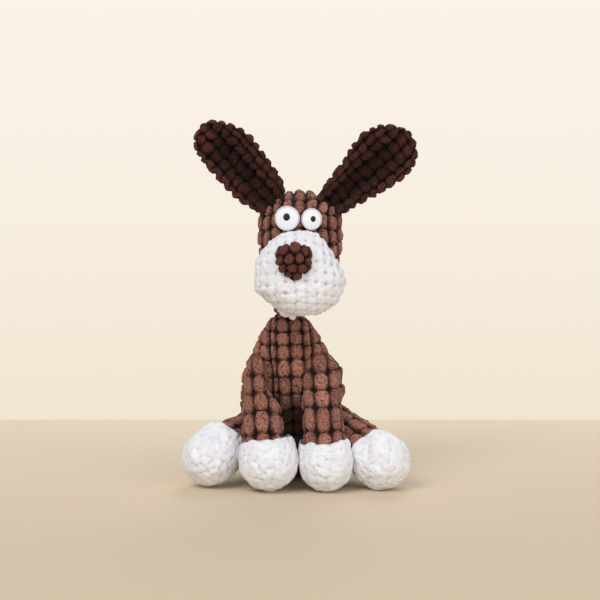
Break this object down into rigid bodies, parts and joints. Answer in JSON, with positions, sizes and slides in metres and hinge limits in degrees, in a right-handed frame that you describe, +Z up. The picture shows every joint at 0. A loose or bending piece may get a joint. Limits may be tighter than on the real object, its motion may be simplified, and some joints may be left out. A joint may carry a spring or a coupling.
{
  "type": "squeaky dog toy",
  "caption": "Sitting plush dog toy of kernel fleece with floppy upright ears, white muzzle and paws, jointed soft limbs, and a squeaker in its stuffed torso.",
  "frame": {"origin": "middle of the flat under the seat, on the surface that the toy sits on", "axes": "+Z up, the toy faces -Y, +X is the toy's own left side"},
  "size_m": [0.1718, 0.1065, 0.2647],
  "materials": {
    "brown_fleece": "rows of long kernels of pile, matt with a soft sheen",
    "dark_fleece": "rows of round kernels of pile, matt",
    "nose_fleece": "rows of round kernels of pile, matt",
    "white_fleece": "small round kernels of pile, matt",
    "eye_thread": "satin stitched embroidery with a raised edge",
    "black_thread": "satin stitched embroidery",
    "fibrefill": "loose polyester fibre",
    "squeaker_plastic": "thin milky plastic",
    "reed_plastic": "thin stiff strip"
  },
  "bodies": {
    "torso": {"torso_chest_panel": "brown_fleece", "torso_left_side_panel": "brown_fleece", "torso_right_side_panel": "brown_fleece", "torso_stuffing_front": "fibrefill", "torso_stuffing_back": "fibrefill", "squeaker_bladder": "squeaker_plastic"},
    "squeaker_plug": {"squeaker_reed_plug": "squeaker_plastic", "squeaker_reed": "reed_plastic"},
    "neck": {"neck_cover": "brown_fleece", "neck_stuffing": "fibrefill"},
    "head": {"head_left_face_panel": "brown_fleece", "head_right_face_panel": "brown_fleece", "head_back_panel": "brown_fleece", "head_stuffing": "fibrefill", "muzzle_left_panel": "white_fleece", "muzzle_right_panel": "white_fleece", "muzzle_stuffing": "fibrefill", "nose_cover": "nose_fleece", "nose_stuffing": "fibrefill", "left_eye_patch": "eye_thread", "left_eye_edge_stitch": "eye_thread", "left_pupil": "black_thread", "right_eye_patch": "eye_thread", "right_eye_edge_stitch": "eye_thread", "right_pupil": "black_thread"},
    "left_ear": {"left_ear_front": "dark_fleece", "left_ear_back": "dark_fleece"},
    "right_ear": {"right_ear_front": "dark_fleece", "right_ear_back": "dark_fleece"},
    "left_front_leg": {"left_front_leg_cover": "brown_fleece", "left_front_paw_cover": "white_fleece", "left_front_leg_stuffing": "fibrefill"},
    "left_hind_leg": {"left_hind_leg_cover": "brown_fleece", "left_hind_paw_cover": "white_fleece", "left_hind_leg_stuffing": "fibrefill"},
    "right_front_leg": {"right_front_leg_cover": "brown_fleece", "right_front_paw_cover": "white_fleece", "right_front_leg_stuffing": "fibrefill"},
    "right_hind_leg": {"right_hind_leg_cover": "brown_fleece", "right_hind_paw_cover": "white_fleece", "right_hind_leg_stuffing": "fibrefill"}
  },
  "joints": [
    {"name": "neck_turn", "type": "hinge", "parent": "torso", "child": "neck", "pos_m": [-0.0036, -0.013, 0.131], "axis": [0, 0, 1], "range_deg": [-35, 35], "stiffness_Nm_per_rad": 0.25},
    {"name": "head_nod", "type": "hinge", "parent": "neck", "child": "head", "pos_m": [-0.0036, -0.013, 0.131], "axis": [1, 0, 0], "range_deg": [-15, 12], "stiffness_Nm_per_rad": 0.9},
    {"name": "left_ear_flop", "type": "hinge", "parent": "head", "child": "left_ear", "pos_m": [0.0284, -0.01, 0.203], "axis": [0.6691, 0, -0.7431], "range_deg": [-35, 60], "stiffness_Nm_per_rad": 0.06},
    {"name": "right_ear_flop", "type": "hinge", "parent": "head", "child": "right_ear", "pos_m": [-0.0151, -0.01, 0.204], "axis": [0.7431, 0, 0.6691], "range_deg": [-35, 60], "stiffness_Nm_per_rad": 0.06},
    {"name": "left_front_leg_swing", "type": "hinge", "parent": "torso", "child": "left_front_leg", "pos_m": [0.01928, -0.02487, 0.08943], "axis": [-1, 0, 0], "range_deg": [0, 70]},
    {"name": "right_front_leg_swing", "type": "hinge", "parent": "torso", "child": "right_front_leg", "pos_m": [-0.02285, -0.0247, 0.08753], "axis": [-1, 0, 0], "range_deg": [0, 70]},
    {"name": "left_hind_leg_spread", "type": "hinge", "parent": "torso", "child": "left_hind_leg", "pos_m": [0.027, -0.002, 0.038], "axis": [0, 0, 1], "range_deg": [0, 40]},
    {"name": "right_hind_leg_spread", "type": "hinge", "parent": "torso", "child": "right_hind_leg", "pos_m": [-0.027, -0.002, 0.038], "axis": [0, 0, -1], "range_deg": [0, 40]},
    {"name": "squeaker_squeeze", "type": "slide", "parent": "torso", "child": "squeaker_plug", "axis": [0, 1, 0], "range_m": [0, 0.008], "stiffness_N_per_m": 400, "deforming": ["squeaker_bladder"]}
  ]
}
